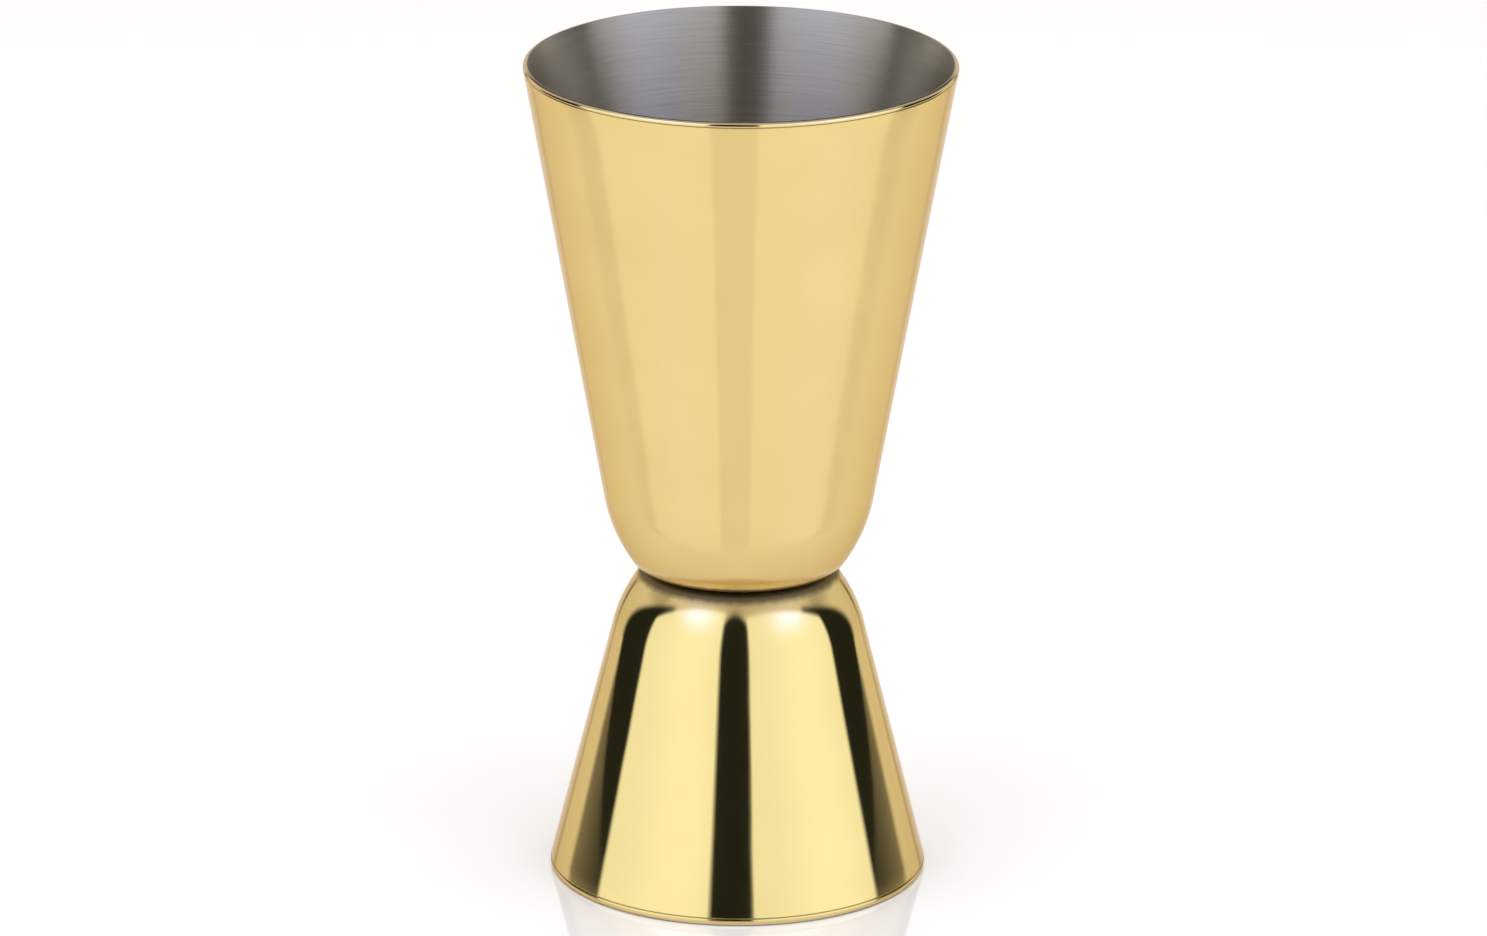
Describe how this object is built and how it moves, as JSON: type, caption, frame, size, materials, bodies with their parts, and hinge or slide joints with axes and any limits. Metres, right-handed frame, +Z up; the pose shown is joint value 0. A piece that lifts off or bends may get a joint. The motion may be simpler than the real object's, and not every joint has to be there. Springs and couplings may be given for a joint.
{
  "type": "bar jigger",
  "caption": "Double-ended spirit measure: a large tapered cup mouth up, welded bottom to bottom to a small inverted cup that it stands on.",
  "frame": {"origin": "centre of the small cup's mouth, on the surface that the jigger stands on", "axes": "+Z up along the axis of both cups, towards the large cup's mouth; the object is round, so +X and +Y are free"},
  "size_m": [0.0432, 0.0432, 0.0839],
  "materials": {
    "gold_polish": "stainless steel with a thin gold-coloured coating, mirror polished outside, bare and brushed round the inside",
    "bare_steel": "bare fused steel, matt"
  },
  "bodies": {
    "root": {"upper_cup": "gold_polish", "lower_cup": "gold_polish", "weld_nugget_1": "bare_steel", "weld_nugget_2": "bare_steel", "weld_nugget_3": "bare_steel"}
  },
  "joints": []
}
